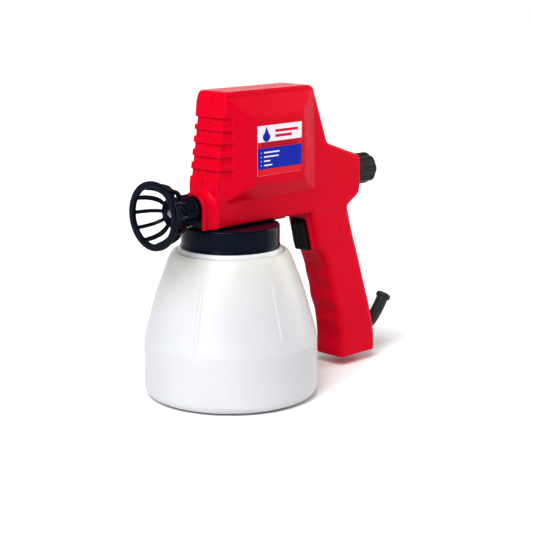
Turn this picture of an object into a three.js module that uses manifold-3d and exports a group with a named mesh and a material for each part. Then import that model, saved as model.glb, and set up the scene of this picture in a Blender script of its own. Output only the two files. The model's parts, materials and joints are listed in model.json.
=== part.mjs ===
// Electromagnetic paint spray gun with a screw-on container: millimetres, +Z up, spray direction -Y,
// the gun's left side on +X. The origin is on the floor under the container's axis.
import * as THREE from 'three';
import { mergeVertices } from 'three/addons/utils/BufferGeometryUtils.js';
import { ConvexGeometry } from 'three/addons/geometries/ConvexGeometry.js';
import Module from 'manifold-3d';

const wasm = await Module();
wasm.setup();

// ---- driving dimensions -------------------------------------------------------------------
const RUN = 0.06; // radial clearance of a running fit

// container
const BELLY_R = 60;
const BELLY_Z = 39.5;
const TAPER = [[58.9, 44], [51.6, 71], [47.2, 84]]; // the ribbed stretch of the side, as (radius, Z)
const SHOULDER_Z = 101.4;
const NECK_R = 28.5;
const NECK_TOP = 113;
const WALL = 2;
const CORNER_R = 9; // between the container's floor and side
const RIB_COUNT = 6;
const RIB_AZIMUTH = -67.5;

// pump
const COLLAR_R = 34.3;
const COLLAR_Z0 = 104.4;
const COLLAR_Z1 = 119.5;
const COLLAR_BORE = 31.2;
const COLLAR_ROOF = 116.5;
const THREAD_PITCH = 6;
const THREAD_TURNS = 0.9;
const THREAD_Z = 106.3;
const SPRAY_Z = 133.4;
const NOSE_R = 8;
const NOSE_END = -44;
const BLOCK_BACK = 45.5;
const SPRING_SEAT = 34;

// housing
const HALF_W = 13.8;
const SHELL = 2.4;
const BODY_Z0 = 120.4;
const BODY_Z1 = 211;
const PLATEAU_X = 20.5;
const BAND_Z = 136.7;
const HANDLE_HALF_W = 13;
const HANDLE_Z0 = 7;
const SEAM = 0.3;
const SCREW_BOSS_R = 4.6;
const SCREW_POCKET_R = 3.4;
const SCREW_POCKET_X = 10.9;
const SCREW_SPOTS = [
  [-10, 202.6], [73, 172], [99, 154.4], [-17.4, 150], [70, 130], [116, 66], [107.5, 17.5],
];
const GROOVE_DEPTH = 1.3;
const GROOVE_END_Y = -12;
const GROOVE_Z = [[193.5, 188.4], [184.9, 180.6], [176.4, 172.1], [167.6, 163.3], [158.7, 153.9]];

// drive
const RIVET_SPOTS = [[13, 153.5], [13, 191]];
const PIVOT = [55.5, 202.6]; // armature pin, Y and Z
const ARMATURE_Y = [53, 58];
const KNOB_Z = 143.6;
const KNOB_R = 11.5;
const KNOB_Y = [119.2, 140.9];
const TRIGGER_PIN = [72, 116.5];
const TRIGGER_HALF_W = 6.2;
const TRIGGER_SLOT_HALF_W = 6.8;
const TRIGGER_GROOVES = 5;

// cord
const CLAMP_SPOTS = [[119, 14.5], [119, 31.5]];
const BOOT_POINTS = [[129, 21], [137, 21.4], [145.5, 24.2], [152.6, 30], [158, 36.4], [163, 43.2]];
const BOOT_R = 4.5;
const BOOT_BORE = 3.2;
const BOOT_TILT = 53.5; // of the mouth, above the floor, in degrees

// guard
const GUARD_FRONT = -70.8;
const GUARD_R = 23;
const GUARD_RIBS = 12;

// ---- colours: colour, roughness, metalness -------------------------------------------------
const RED = [0xd4082a, 0.35, 0];
const BLACK = [0x17171a, 0.35, 0];
const RUBBER = [0x1b1b1d, 0.8, 0];
const STEEL = [0xb9bcc0, 0.35, 1];
const IRON = [0x55585c, 0.55, 0.8];
const BRASS = [0xc9a04a, 0.35, 1];
const COPPER = [0xb8683a, 0.4, 0.9];
const MILKY = [0xf1f0ea, 0.4, 0];
const NYLON = [0xe6e2d2, 0.5, 0];
const LABEL = [0x1238ae, 0.35, 0];

// ---- helpers -------------------------------------------------------------------------------
const DEG = Math.PI / 180;

// A closed three.js geometry as a solid, its faces turned outwards.
function solid(geometry) {
  const bare = geometry.index ? geometry.toNonIndexed() : geometry.clone();
  bare.deleteAttribute('normal');
  bare.deleteAttribute('uv');
  const welded = mergeVertices(bare, 1e-4);
  const index = welded.index.array;
  const point = (i) => new THREE.Vector3().fromBufferAttribute(welded.attributes.position, i);
  const faces = [];
  let volume = 0;
  for (let i = 0; i < index.length; i += 3) {
    const [a, b, c] = [index[i], index[i + 1], index[i + 2]];
    if (a === b || b === c || c === a) continue;
    faces.push([a, b, c]);
    volume += point(a).dot(point(b).cross(point(c)));
  }
  const outward = volume > 0 ? faces : faces.map(([a, b, c]) => [c, b, a]);
  return new wasm.Manifold(new wasm.Mesh({
    numProp: 3,
    vertProperties: new Float32Array(welded.attributes.position.array),
    triVerts: new Uint32Array(outward.flat()),
  }));
}

function toGeometry(manifold) {
  const mesh = manifold.getMesh();
  const geometry = new THREE.BufferGeometry();
  geometry.setAttribute('position', new THREE.BufferAttribute(new Float32Array(mesh.vertProperties), 3));
  geometry.setIndex(new THREE.BufferAttribute(new Uint32Array(mesh.triVerts), 1));
  const flat = geometry.toNonIndexed();
  flat.computeVertexNormals();
  return flat;
}

const union = (...parts) => wasm.Manifold.union(parts);

function shapeOf(points) {
  return new THREE.Shape(points.map(([u, v]) => new THREE.Vector2(u, v)));
}

// A (Y, Z) outline swept along X from x0 to x1, its long edges rounded by bevel.
function prismX(points, x0, x1, bevel = 0, steps = 2) {
  const geometry = new THREE.ExtrudeGeometry(shapeOf(points), {
    depth: x1 - x0 - 2 * bevel,
    bevelEnabled: bevel > 0,
    bevelSize: bevel,
    bevelThickness: bevel,
    bevelOffset: -bevel,
    bevelSegments: steps,
    curveSegments: 8,
  });
  geometry.translate(0, 0, x0 + bevel);
  geometry.applyMatrix4(new THREE.Matrix4().makeBasis(
    new THREE.Vector3(0, 1, 0), new THREE.Vector3(0, 0, 1), new THREE.Vector3(1, 0, 0)));
  return solid(geometry);
}

// A turned solid about the vertical axis from (radius, z) points that close on themselves or the axis.
function turnZ(points, segments = 32, x = 0, y = 0) {
  const geometry = new THREE.LatheGeometry(points.map(([r, z]) => new THREE.Vector2(r, z)), segments);
  geometry.rotateX(Math.PI / 2);
  geometry.translate(x, y, 0);
  return solid(geometry);
}

// A turned solid about an axis along Y at height z, from (radius, y) points.
function turnY(points, segments = 32, x = 0, z = SPRAY_Z) {
  const geometry = new THREE.LatheGeometry(points.map(([r, y]) => new THREE.Vector2(r, y)), segments);
  geometry.translate(x, 0, z);
  return solid(geometry);
}

function rodX(r, x0, x1, y, z, segments = 14) {
  const geometry = new THREE.CylinderGeometry(r, r, x1 - x0, segments);
  geometry.rotateZ(Math.PI / 2);
  geometry.translate((x0 + x1) / 2, y, z);
  return solid(geometry);
}

function rodY(r, y0, y1, z, segments = 24, x = 0) {
  const geometry = new THREE.CylinderGeometry(r, r, y1 - y0, segments);
  geometry.translate(x, (y0 + y1) / 2, z);
  return solid(geometry);
}

function rodZ(r, z0, z1, x = 0, y = 0, segments = 24) {
  const geometry = new THREE.CylinderGeometry(r, r, z1 - z0, segments);
  geometry.rotateX(Math.PI / 2);
  geometry.translate(x, y, (z0 + z1) / 2);
  return solid(geometry);
}

function box(x0, x1, y0, y1, z0, z1) {
  const geometry = new THREE.BoxGeometry(x1 - x0, y1 - y0, z1 - z0);
  geometry.translate((x0 + x1) / 2, (y0 + y1) / 2, (z0 + z1) / 2);
  return solid(geometry);
}

function hull(points) {
  return solid(new ConvexGeometry(points.map((p) => new THREE.Vector3(...p))));
}

// The outline moved inwards by distance (outline given anticlockwise).
function inset(points, distance) {
  const n = points.length;
  return points.map((p, i) => {
    const a = points[(i + n - 1) % n];
    const b = points[(i + 1) % n];
    const d0 = new THREE.Vector2(p[0] - a[0], p[1] - a[1]).normalize();
    const d1 = new THREE.Vector2(b[0] - p[0], b[1] - p[1]).normalize();
    const n0 = new THREE.Vector2(-d0.y, d0.x);
    const n1 = new THREE.Vector2(-d1.y, d1.x);
    const m = n0.clone().add(n1).normalize();
    const k = distance / Math.max(0.35, m.dot(n0));
    return [p[0] + m.x * k, p[1] + m.y * k];
  });
}

class PointPath extends THREE.Curve {
  constructor(pointAt) {
    super();
    this.pointAt = pointAt;
  }

  getPoint(t, target = new THREE.Vector3()) {
    return target.set(...this.pointAt(t));
  }
}

function circleShape(r, sides) {
  const points = [];
  for (let i = 0; i < sides; i++) {
    points.push([r * Math.cos((i / sides) * 2 * Math.PI), r * Math.sin((i / sides) * 2 * Math.PI)]);
  }
  return shapeOf(points);
}

function sweep(shape, path, steps) {
  return solid(new THREE.ExtrudeGeometry(shape, { steps, extrudePath: path, bevelEnabled: false }));
}

// A closed-coil spring along Y; radius of the coil's centre line and of the wire.
function springY(radius, wire, y0, y1, turns, z, sides = 4, perTurn = 10) {
  const span = y1 - y0 - 2 * wire;
  const path = new PointPath((t) => {
    const a = t * turns * 2 * Math.PI;
    return [radius * Math.cos(a), y0 + wire + span * t, z + radius * Math.sin(a)];
  });
  return sweep(circleShape(wire, sides), path, Math.round(turns * perTurn));
}

// A rounded thread ridge winding right-handed about the vertical axis, starting at angle start.
function threadRidge(radius, size, z0, start) {
  const path = new PointPath((t) => {
    const a = start + t * THREAD_TURNS * 2 * Math.PI;
    return [radius * Math.cos(a), radius * Math.sin(a), z0 + THREAD_PITCH * THREAD_TURNS * t];
  });
  return sweep(circleShape(size, 6), path, 26);
}

// ---- container -----------------------------------------------------------------------------
function containerOuter() {
  const corner = [-90, -60, -30, 0].map((a) => [
    BELLY_R + CORNER_R * (Math.cos(a * DEG) - 1), CORNER_R * (Math.sin(a * DEG) + 1),
  ]);
  return [
    ...corner, [BELLY_R, BELLY_Z], ...TAPER, [43, 95.4], [41.3, 98.8], [39.2, SHOULDER_Z], [38, SHOULDER_Z],
    [36.7, SHOULDER_Z - 0.8], [34.9, 103.6], [NECK_R, 103.6], [NECK_R, NECK_TOP],
  ];
}

function containerInner() {
  return [
    [NECK_R - WALL, NECK_TOP], [NECK_R - WALL, 101.6], [33.8, 101.4], [36, 98.7], [39.2, 98.4], [41, 94.8],
    [45, 84], [49.5, 70.6], [54.7, 53.4], [BELLY_R - WALL, BELLY_Z], [BELLY_R - WALL, 9], [56, 4],
    [51, WALL], [0, WALL],
  ];
}

function container() {
  let body = turnZ([[0, 0], ...containerOuter(), ...containerInner()], 36);
  body = union(body, threadRidge(NECK_R + 0.9, 1.3, THREAD_Z, 0));
  const rib = union(...TAPER.slice(1).map((head, i) => ribBetween(TAPER[i], head)));
  for (let i = 0; i < RIB_COUNT; i++) {
    body = union(body, rib.rotate([0, 0, RIB_AZIMUTH + i * (360 / RIB_COUNT)]));
  }
  return body;
}

// A straight piece of an upright rib, along the side from foot to head, both (radius, Z).
function ribBetween(foot, head) {
  const length = Math.hypot(head[0] - foot[0], head[1] - foot[1]);
  const tilt = Math.atan2(foot[0] - head[0], head[1] - foot[1]) / DEG;
  return box(-0.6, 0.5, -1, 1, 0, length).rotate([0, -tilt, 0]).translate([foot[0], 0, foot[1]]);
}

function containerGasket() {
  const [r0, r1, z0, z1] = [NECK_R - 3, NECK_R + 0.4, NECK_TOP + 0.4, COLLAR_ROOF - 0.4];
  return turnZ([[r0, z0], [r1, z0], [r1, z1], [r0, z1], [r0, z0]], 32);
}

// ---- pump ----------------------------------------------------------------------------------
function pumpBody() {
  const collar = turnZ([
    [COLLAR_BORE, COLLAR_Z0], [COLLAR_R - 0.6, COLLAR_Z0], [COLLAR_R, COLLAR_Z0 + 0.6],
    [COLLAR_R, COLLAR_Z1 - 1.2], [COLLAR_R - 1.2, COLLAR_Z1], [0, COLLAR_Z1], [0, COLLAR_ROOF],
    [COLLAR_BORE, COLLAR_ROOF], [COLLAR_BORE, COLLAR_Z0],
  ], 40);
  const ridge = threadRidge(COLLAR_BORE - 0.7, 1.2, THREAD_Z, Math.PI);
  const block = box(-8.8, 8.8, -18, BLOCK_BACK, COLLAR_Z1 - 1, 143);
  const nose = rodY(NOSE_R, NOSE_END, -17, SPRAY_Z, 32);
  const saddle = box(-6, 6, -30, -17, COLLAR_Z1 - 1, 127);
  const whole = union(collar, ridge, block, nose, saddle);
  const bores = union(
    rodY(6.2, -28.5, 35, SPRAY_Z), rodY(7.4, SPRING_SEAT, BLOCK_BACK + 1, SPRAY_Z),
    rodY(5.2, NOSE_END - 1, -28, SPRAY_Z),
    rodZ(4.3, COLLAR_ROOF - 1, 122, 0, 6), rodZ(2.4, 121, 130, 0, 6),
    rodZ(3.3, COLLAR_ROOF - 1, 121, 0, 20),
  );
  return whole.subtract(bores);
}

function pumpCylinder() {
  const tube = turnY([[4.06, -28.1], [5.9, -28.1], [5.9, 33.6], [4.06, 33.6], [4.06, -28.1]], 24);
  return tube.subtract(rodZ(2, 124, SPRAY_Z, 0, 6, 12));
}

function piston() {
  return turnY([[0, 4], [3.6, 4], [4, 4.6], [4, 49], [6.6, 49], [6.6, 51.4], [0, 51.4]], 24);
}

function outletValve() {
  return turnY([[0, -36.2], [3.6, -36.2], [3.6, -33.6], [2.6, -32.4], [0, -32.4]], 20);
}

function valveSeat() {
  return turnY([[1.6, -29], [4.9, -29], [4.9, -31.8], [2.6, -31.8], [1.6, -31], [1.6, -29]].reverse(), 24);
}

function nozzleTip() {
  const outer = [
    [0.4, -55], [2.6, -55], [3.6, -53.4], [3.6, -47.4], [7.2, -47.4], [7.2, -44.6], [2.6, -44.6],
    [2.6, -52.6], [0.4, -53.6], [0.4, -55],
  ];
  return turnY(outer, 28);
}

function nozzleNut() {
  let nut = turnY([[4, -50.4], [9.4, -50.4], [10, -49.6], [10, -38], [8.4, -38], [8.4, -47.7], [4, -47.7],
    [4, -50.4]], 32);
  for (let i = 0; i < 8; i++) {
    const rib = box(9.6, 11, -48.6, -39, -0.7, 0.7).rotate([0, 22.5 + i * 45, 0]);
    nut = union(nut, rib.translate([0, 0, SPRAY_Z]));
  }
  return nut;
}

// ---- guard ---------------------------------------------------------------------------------
function nozzleGuard() {
  const [front, back] = [GUARD_FRONT, GUARD_FRONT + 3];
  let cage = turnY([
    [18.8, front], [22.4, front], [GUARD_R, front + 0.6], [GUARD_R, back - 0.6], [22.2, back],
    [19.4, back], [18.8, back - 0.6], [18.8, front],
  ], 40);
  const hub = turnY([
    [4.4, -52.9], [10, -52.9], [10.4, -52.4], [10.4, -50.8], [4.4, -50.8], [4.4, -52.9],
  ], 28);
  cage = union(cage, hub);
  const ribOutline = [[9.8, -52.7], [13.2, -54.2], [16, -57], [17.6, -61], [19, -67.9], [21.2, -67.9],
    [20.4, -61], [18.4, -55.4], [15.2, -52], [9.8, -50.9]];
  const geometry = new THREE.ExtrudeGeometry(shapeOf(ribOutline), { depth: 2.2, bevelEnabled: false });
  geometry.translate(0, 0, -1.1);
  const rib = solid(geometry);
  for (let i = 0; i < GUARD_RIBS; i++) {
    cage = union(cage, rib.rotate([0, i * (360 / GUARD_RIBS), 0]).translate([0, 0, SPRAY_Z]));
  }
  return cage;
}

// ---- suction -------------------------------------------------------------------------------
const SUCTION_POINTS = [[6, 120.6], [6, 104], [5, 92], [-4, 72], [-20, 44], [-29, 26], [-32, 16]];

function suctionPath() {
  return new THREE.CatmullRomCurve3(SUCTION_POINTS.map(([y, z]) => new THREE.Vector3(0, y, z)));
}

function suctionTube() {
  const outer = sweep(circleShape(4, 12), suctionPath(), 12);
  const inner = sweep(circleShape(2.6, 8), extend(suctionPath()), 13);
  return outer.subtract(inner);
}

// The same line run on a little past both ends, so that a bore cut along it is open.
function extend(curve) {
  const [a, b] = [curve.getPoint(0), curve.getPoint(1)];
  const points = curve.getPoints(20);
  const first = a.clone().sub(curve.getTangent(0));
  const last = b.clone().add(curve.getTangent(1));
  return new THREE.CatmullRomCurve3([first, ...points, last]);
}

function suctionFilter() {
  const basket = turnZ([[0, 5], [7, 5], [8, 6], [8, 14.5], [0, 14.5]], 24, 0, -33);
  const socket = rodZ(7, 6.2, 13.2, 0, -33, 20);
  const mouth = rodZ(2.2, 13, 16, 0, -33, 16);
  let filter = basket.subtract(union(socket, mouth));
  for (let i = 0; i < 8; i++) {
    const slot = box(6, 9, -1.6, 1.6, 7.4, 12).rotate([0, 0, i * 45]).translate([0, -33, 0]);
    filter = filter.subtract(slot);
  }
  return filter;
}

function returnHose() {
  return turnZ([[1.8, 72], [3, 72], [3, 120.4], [1.8, 120.4], [1.8, 72]], 16, 0, 20);
}

// ---- housing -------------------------------------------------------------------------------
const BODY_OUTLINE = [
  [-25.8, BODY_Z0], [104.4, BODY_Z0], [114.5, 126.4], [117.4, 128.8], [118.6, 131.8], [118.6, 152.4],
  [117.4, 154.9], [114.6, 156.9], [83.5, 168.2], [81, 170.2], [68.2, 204.8], [66.2, 208.6], [62.4, 210.6],
  [-14.6, BODY_Z1], [-16.6, 209.6], [-25.2, 152], [-25.8, 148],
];

// The handle's back edge, the cheeks' front edge beside the trigger, and the front edge below with its four
// finger grooves, all as (Y, Z).
const HANDLE_BACK = [
  [139.8, 12], [139.3, 19], [137.5, 28], [133.2, 44], [126.8, 63], [120.2, 83], [114, 100], [110, 113.5],
  [108.4, 120], [108, 128],
];
const CHEEK_FRONT = [[64, 128], [65.8, 117], [67.4, 113.4], [70.4, 102.5], [73.1, 91.2], [79, 88.8]];
const FINGER_CRESTS = [[81.4, 83.4], [86.7, 67.2], [91.7, 50.6], [96.8, 34.5], [98.6, 12]];
const FINGER_DEPTH = 2.6;

// From each crest to the next the line bows inwards by the groove's depth.
function fingerLine() {
  const line = [];
  for (let i = 0; i + 1 < FINGER_CRESTS.length; i++) {
    const [[y0, z0], [y1, z1]] = [FINGER_CRESTS[i], FINGER_CRESTS[i + 1]];
    for (let k = 0; k < 6; k++) {
      const t = k / 6;
      const bow = FINGER_DEPTH * Math.sin(Math.PI * t);
      line.push([y0 + (y1 - y0) * t + bow, z0 + (z1 - z0) * t]);
    }
  }
  return line;
}

function handle() {
  const foot = [[99, 2], [139.5, 2]];
  const smooth = prismX([...CHEEK_FRONT, ...FINGER_CRESTS, ...foot, ...HANDLE_BACK],
    -HANDLE_HALF_W, HANDLE_HALF_W, 5, 3);
  const grooved = prismX([...CHEEK_FRONT, ...fingerLine(), FINGER_CRESTS.at(-1), [99, 9.6],
    [101.6, HANDLE_Z0], [136.6, HANDLE_Z0], [140, 10.4], [145, 128]], -20, 20);
  return smooth.intersect(grooved);
}

function gripCavity() {
  const front = [[70, 126], [72, 112], [80, 97], [88, 84], [94, 67], [104, 34], [104.5, 11.5]];
  const back = HANDLE_BACK.map(([y, z]) => [y - 2.7, Math.max(z - 0.6, 13)]);
  return prismX([...front, [133.6, 11.2], ...back], -HANDLE_HALF_W + 2.5, HANDLE_HALF_W - 2.5, 2.5, 2);
}

function plateau(side, d) {
  const x = (v) => side * v;
  const top = PLATEAU_X - d;
  const base = HALF_W - 3;
  const flat = [[1.5 + d * 0.5, 192 - d * 0.5], [52.3 - d * 0.5, 192.6 - d * 0.5],
    [53.3 - d * 0.5, 147.4 + d * 0.5], [1.8 + d * 0.5, 147.6 + d * 0.5]];
  const rim = [[-15.2 + d, 209.4 - d], [67.8 - d, 205.4 - d], [69.1 - d, BAND_Z + d],
    [-23.6 + d, BAND_Z + d], [-23.2 + d, 152]];
  return hull([
    ...flat.map(([y, z]) => [x(top), y, z]),
    ...rim.map(([y, z]) => [x(HALF_W - d * 0.3), y, z]), ...rim.map(([y, z]) => [x(base), y, z]),
  ]);
}

function hood() {
  const round = turnY([
    [0, -34.5], [10.4, -34.5], [11.2, -33.8], [11.2, -31.8], [10.4, -31.2], [11.4, -25], [0, -25],
  ], 32, 0, 134);
  const lip = box(-11.2, 11.2, -34.3, -31.6, BODY_Z0, 134);
  const neck = box(-10.6, 10.6, -32, -25, BODY_Z0, 134);
  return union(round, lip, neck);
}

function housingOuter() {
  let outer = prismX(BODY_OUTLINE, -HALF_W, HALF_W, 1.4, 2);
  outer = union(outer, plateau(1, 0), plateau(-1, 0), hood());
  for (const [z1, z0] of GROOVE_Z) {
    const ring = box(-30, 30, -40, GROOVE_END_Y, z0, z1);
    outer = outer.subtract(ring.subtract(grooveFloor()));
  }
  return union(outer, handle());
}

// What is left standing inside the front grooves: the body pulled in by the groove depth.
function grooveFloor() {
  const w = HALF_W - GROOVE_DEPTH;
  const body = prismX(inset(BODY_OUTLINE, GROOVE_DEPTH), -w, w, 1, 1);
  return union(body, plateau(1, GROOVE_DEPTH), plateau(-1, GROOVE_DEPTH));
}

function housingCavity() {
  const w = HALF_W - SHELL;
  const body = prismX(inset(BODY_OUTLINE, SHELL), -w, w, 0.8, 1);
  const sides = union(plateau(1, SHELL), plateau(-1, SHELL));
  return union(body, sides, gripCavity());
}

function housingOpenings() {
  return union(
    rodY(8.5, -36, -20, 134, 32), box(-8.5, 8.5, -36, -20, BODY_Z0 - 1, 134), // pump nose through the hood
    box(-9.6, 9.6, -24, 47, BODY_Z0 - 1, 124), // pump block through the floor
    rodY(3.6, 112, 120, KNOB_Z), // adjusting screw
    triggerSlot(),
    sweep(circleShape(4.9, 12), bootPath(-4, 0), 8),
  );
}

function triggerSlot() {
  return prismX([[55, 90], [90, 90], [90, 122], [67.8, 122], [67.8, 115], [55, 115]],
    -TRIGGER_SLOT_HALF_W, TRIGGER_SLOT_HALF_W);
}

// Bosses and their holes for one half; side is +1 for the left half, which the screws bite into.
function bosses(side) {
  const span = (r, [y, z], a, b) => (side > 0 ? rodX(r, a, b, y, z) : rodX(r, -b, -a, y, z));
  let add = union(...SCREW_SPOTS.map((spot) => span(SCREW_BOSS_R, spot, SEAM / 2, 11.6)));
  add = union(add, span(4.4, PIVOT, 8.8, 11.6), span(4, TRIGGER_PIN, TRIGGER_SLOT_HALF_W, 11.6));
  if (side > 0) {
    add = union(add, ...CLAMP_SPOTS.map(([y, z]) => rodX(2.8, -3.2, 11.6, y, z, 16)));
  }
  let cut = union(span(2.1, PIVOT, 8, 10.9), span(1.7, TRIGGER_PIN, 6, 10.9));
  for (const spot of SCREW_SPOTS) {
    if (side > 0) {
      cut = union(cut, span(1.8, spot, -1, 9));
    } else {
      cut = union(cut, span(1.9, spot, -1, 20), span(SCREW_POCKET_R, spot, SCREW_POCKET_X, 20));
    }
  }
  if (side > 0) {
    cut = union(cut, ...CLAMP_SPOTS.map(([y, z]) => rodX(1.5, -4, 7, y, z, 16)));
  }
  return { add, cut };
}

function housingHalf(side) {
  const { add, cut } = bosses(side);
  const block = side > 0 ? box(SEAM / 2, 60, -60, 160, -5, 230) : box(-60, -SEAM / 2, -60, 160, -5, 230);
  const shell = housingOuter().subtract(housingCavity()).intersect(block);
  const inside = add.intersect(housingOuter());
  return union(shell, inside).subtract(housingOpenings()).subtract(cut);
}

function housingScrew([y, z]) {
  const head = turnY([[0, -1.9], [2.2, -1.9], [3, -1.2], [3, 0], [0, 0]], 14, 0, 0);
  const cross = union(box(-1.8, 1.8, -2.5, -1.2, -0.35, 0.35), box(-0.35, 0.35, -2.5, -1.2, -1.8, 1.8));
  const turned = head.subtract(cross).rotate([0, 0, -90]).translate([-11.2, y, z]);
  return union(turned, rodX(1.5, -11.3, 8, y, z, 10));
}

function ratingLabel() {
  return box(PLATEAU_X + 0.02, PLATEAU_X + 0.3, 6, 49, 153.3, 187.2);
}

// ---- drive ---------------------------------------------------------------------------------
function magnetCore() {
  const core = box(-9, 9, 8, 50, 148.6, 196);
  const windows = union(box(-10, 10, 20, 51, 156.2, 164.3), box(-10, 10, 20, 51, 180.3, 188.4));
  const rivets = union(...RIVET_SPOTS.map(([y, z]) => rodX(2.1, -10, 10, y, z, 16)));
  return core.subtract(windows).subtract(rivets);
}

function coreRivet([y, z]) {
  const shaft = rodX(1.9, -9.4, 9.4, y, z, 16);
  const heads = union(rodX(3.4, -10.6, -9.3, y, z, 16), rodX(3.4, 9.3, 10.6, y, z, 16));
  return union(shaft, heads);
}

function coilBobbin() {
  const sleeve = box(-10.3, 10.3, 21, 48.6, 163, 181.6);
  const flange = (y) => box(-17.2, 17.2, y, y + 1.2, 156.6, 188);
  const core = box(-9.3, 9.3, 20, 50, 164, 180.6);
  return union(sleeve, flange(21), flange(47.4)).subtract(core);
}

function coilWinding() {
  const ring = hull([
    ...[22.5, 47.1].flatMap((y) => [[-16.4, y, 159.4], [-14, y, 157], [14, y, 157], [16.4, y, 159.4],
      [16.4, y, 185.2], [14, y, 187.6], [-14, y, 187.6], [-16.4, y, 185.2]])]);
  return ring.subtract(box(-10.6, 10.6, 20, 50, 162.7, 181.9));
}

function armature() {
  const [y0, y1] = ARMATURE_Y;
  const plate = box(-8, 8, y0, y1, 128, 199);
  const lug = union(rodX(4, -8, 8, ...PIVOT, 20), box(-8, 8, y0, y1, 196, PIVOT[1]));
  const holes = union(rodX(2 + RUN, -9, 9, ...PIVOT, 20), rodY(2.3, 50, 60, SPRAY_Z, 16));
  return union(plate, lug).subtract(holes);
}

function armaturePad() {
  return union(rodY(2.2 - 0.1, 52.5, 58.8, SPRAY_Z, 16), rodY(3.6, 51.7, 52.7, SPRAY_Z, 20));
}

function armaturePin() {
  return rodX(2, -10.5, 10.5, ...PIVOT, 20);
}

function adjustingScrew() {
  return turnY([[0, 58.3], [2.2, 58.3], [3, 59.3], [3, 132], [0, 132]], 20, 0, KNOB_Z);
}

function screwNut() {
  const nut = rodY(5.4, 109, 115.1, KNOB_Z, 6);
  return nut.subtract(rodY(3 + RUN, 108, 116, KNOB_Z, 20));
}

function controlKnob() {
  const [front, back] = KNOB_Y;
  let knob = turnY([
    [0, front + 2], [4, front + 2], [4, front], [KNOB_R - 0.6, front], [KNOB_R, front + 0.6],
    [KNOB_R, back - 1.6], [KNOB_R - 1.6, back], [0, back],
  ], 32, 0, KNOB_Z);
  const flute = rodY(7, front + 4, back + 2, 0, 24).translate([KNOB_R + 5.8, 0, 0]);
  for (let i = 0; i < 8; i++) {
    knob = knob.subtract(flute.rotate([0, 22.5 + i * 45, 0]).translate([0, 0, KNOB_Z]));
  }
  return knob.subtract(rodY(3.1, 118, 133, KNOB_Z, 20));
}

// ---- trigger and switch --------------------------------------------------------------------
function trigger() {
  const outline = [[64.4, 112.6], [66.8, 103.5], [70.6, 90.8], [71.4, 90.4], [77.2, 91], [77.8, 92.4],
    [77, 104], [76.4, 117], [74.4, 119.4], [70.4, 119.4], [68.8, 117.2], [68, 114.4], [65.2, 113.8]];
  let body = prismX(outline, -TRIGGER_HALF_W, TRIGGER_HALF_W, 0.8, 1);
  const face = [[60, 92.6], [70.6, 92.6], [65.7, 111.8], [60, 111.8]];
  for (let i = 0; i < TRIGGER_GROOVES; i++) {
    const x = (i - (TRIGGER_GROOVES - 1) / 2) * 2.2;
    body = body.subtract(prismX(face, x - 0.45, x + 0.45));
  }
  return body.subtract(rodX(1.5 + RUN, -9, 9, ...TRIGGER_PIN, 16));
}

function triggerPin() {
  return rodX(1.5, -10.5, 10.5, ...TRIGGER_PIN, 16);
}

function microSwitch() {
  return box(-5, 5, 88, 104, 93, 112).subtract(rodY(1.7, 87, 93.5, 104, 14));
}

function switchPlunger() {
  return rodY(1.5, 77.4, 91, 104, 14);
}

function cordClamp() {
  const bar = box(-6.2, -3.5, 116, 122, 11.6, 34.4);
  return bar.subtract(union(...CLAMP_SPOTS.map(([y, z]) => rodX(1.45, -7, -3, y, z, 14))));
}

function clampScrew([y, z]) {
  return union(rodX(1.15, -6.6, 5.5, y, z, 12), rodX(2.3, -8.2, -6.5, y, z, 16));
}

// The boot's centre line, from a point before its inner end to one past its mouth.
function bootPath(before = 0, after = 0) {
  const points = BOOT_POINTS.map(([y, z]) => new THREE.Vector3(0, y, z));
  const end = points.at(-1);
  if (before) {
    points.unshift(new THREE.Vector3(0, points[0].y + before, points[0].z - 0.05));
  }
  if (after) {
    const ahead = new THREE.Vector3(0, Math.cos(BOOT_TILT * DEG), Math.sin(BOOT_TILT * DEG));
    points.push(end.clone().addScaledVector(ahead, after));
  }
  return new THREE.CatmullRomCurve3(points);
}

function cordBoot() {
  const [inner, end] = [BOOT_POINTS[0], BOOT_POINTS.at(-1)];
  const atMouth = (piece) => piece.rotate([BOOT_TILT, 0, 0]).translate([0, ...end]);
  const tube = sweep(circleShape(BOOT_R, 14), bootPath(), 9);
  const flange = rodY(6.4, inner[0], inner[0] + 2, inner[1], 20);
  const rim = atMouth(rodY(5.6, -3, 0, 0, 20));
  const bore = sweep(circleShape(BOOT_BORE, 10), bootPath(-3, 3), 11);
  const mouth = atMouth(rodY(BOOT_BORE + 0.7, -3.4, 2, 0, 16));
  return union(tube, flange, rim).subtract(bore).subtract(mouth);
}

// ---- assembly ------------------------------------------------------------------------------
const group = new THREE.Group();
group.name = 'electromagnetic_spray_gun';

function add(name, [color, roughness, metalness], manifold) {
  const material = new THREE.MeshStandardMaterial({ color, roughness, metalness });
  const mesh = new THREE.Mesh(toGeometry(manifold), material);
  mesh.name = name;
  group.add(mesh);
}

add('housing_left', RED, housingHalf(1));
add('housing_right', RED, housingHalf(-1));
SCREW_SPOTS.forEach((spot, i) => add(`housing_screw_${i + 1}`, STEEL, housingScrew(spot)));
add('rating_label', LABEL, ratingLabel());
add('pump_body', BLACK, pumpBody());
add('pump_cylinder', STEEL, pumpCylinder());
add('piston', STEEL, piston());
add('piston_spring', STEEL, springY(5.6, 0.7, SPRING_SEAT + 0.1, 48.9, 4, SPRAY_Z));
add('valve_seat', BRASS, valveSeat());
add('outlet_valve', NYLON, outletValve());
add('valve_spring', STEEL, springY(2.9, 0.4, -44.4, -36.4, 5, SPRAY_Z));
add('nozzle_tip', BRASS, nozzleTip());
add('nozzle_nut', BLACK, nozzleNut());
add('nozzle_guard', BLACK, nozzleGuard());
add('container_gasket', NYLON, containerGasket());
add('container', MILKY, container());
add('suction_tube', NYLON, suctionTube());
add('suction_filter', NYLON, suctionFilter());
add('return_hose', NYLON, returnHose());
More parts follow.
